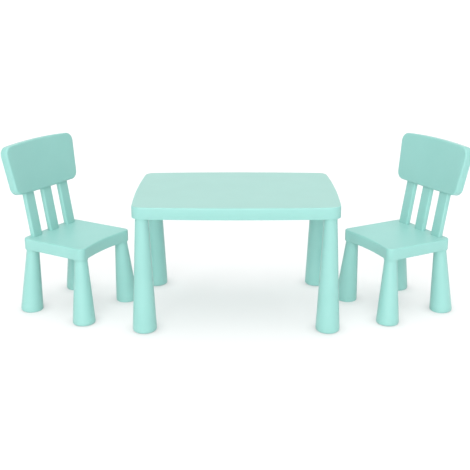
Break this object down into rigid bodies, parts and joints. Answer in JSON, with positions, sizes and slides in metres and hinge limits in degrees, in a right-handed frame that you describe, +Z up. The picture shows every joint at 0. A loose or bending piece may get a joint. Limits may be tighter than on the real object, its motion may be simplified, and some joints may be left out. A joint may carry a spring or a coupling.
{
  "type": "children's table and chair set",
  "caption": "Low moulded table with tapered round legs and matching slat-back chairs that slide up to it.",
  "frame": {"origin": "on the floor, under the middle of the table", "axes": "+Z up, +X along the table's length, -Y towards the front of the table, where the chairs turn to"},
  "size_m": [1.7692, 0.561, 0.6627],
  "materials": {
    "table_top": "satin injection-moulded polypropylene",
    "seat": "satin injection-moulded polypropylene",
    "leg": "satin blow-moulded polypropylene",
    "foot_cap": "satin injection-moulded polypropylene",
    "slat": "satin moulded polypropylene",
    "back_panel": "satin injection-moulded polypropylene",
    "screw": "bright zinc-plated steel"
  },
  "bodies": {
    "table": {"table_top": "table_top", "table_leg_front_left": "leg", "table_leg_front_right": "leg", "table_leg_rear_left": "leg", "table_leg_rear_right": "leg", "table_foot_cap_front_left": "foot_cap", "table_foot_cap_front_right": "foot_cap", "table_foot_cap_rear_left": "foot_cap", "table_foot_cap_rear_right": "foot_cap"},
    "left_chair": {"left_chair_seat": "seat", "left_chair_leg_front_left": "leg", "left_chair_leg_front_right": "leg", "left_chair_leg_rear_left": "leg", "left_chair_leg_rear_right": "leg", "left_chair_foot_cap_front_left": "foot_cap", "left_chair_foot_cap_front_right": "foot_cap", "left_chair_foot_cap_rear_left": "foot_cap", "left_chair_foot_cap_rear_right": "foot_cap", "left_chair_slat_left": "slat", "left_chair_slat_middle": "slat", "left_chair_slat_right": "slat", "left_chair_back_front_shell": "back_panel", "left_chair_back_rear_cover": "back_panel", "left_chair_slat_screws": "screw"},
    "right_chair": {"right_chair_seat": "seat", "right_chair_leg_front_left": "leg", "right_chair_leg_front_right": "leg", "right_chair_leg_rear_left": "leg", "right_chair_leg_rear_right": "leg", "right_chair_foot_cap_front_left": "foot_cap", "right_chair_foot_cap_front_right": "foot_cap", "right_chair_foot_cap_rear_left": "foot_cap", "right_chair_foot_cap_rear_right": "foot_cap", "right_chair_slat_left": "slat", "right_chair_slat_middle": "slat", "right_chair_slat_right": "slat", "right_chair_back_front_shell": "back_panel", "right_chair_back_rear_cover": "back_panel", "right_chair_slat_screws": "screw"}
  },
  "joints": [
    {"name": "left_chair_slide", "type": "slide", "parent": "table", "child": "left_chair", "axis": [0.8704, -0.4924, 0], "range_m": [-0.4, 0.12]},
    {"name": "right_chair_slide", "type": "slide", "parent": "table", "child": "right_chair", "axis": [-0.8829, -0.4695, 0], "range_m": [-0.4, 0.12]}
  ]
}
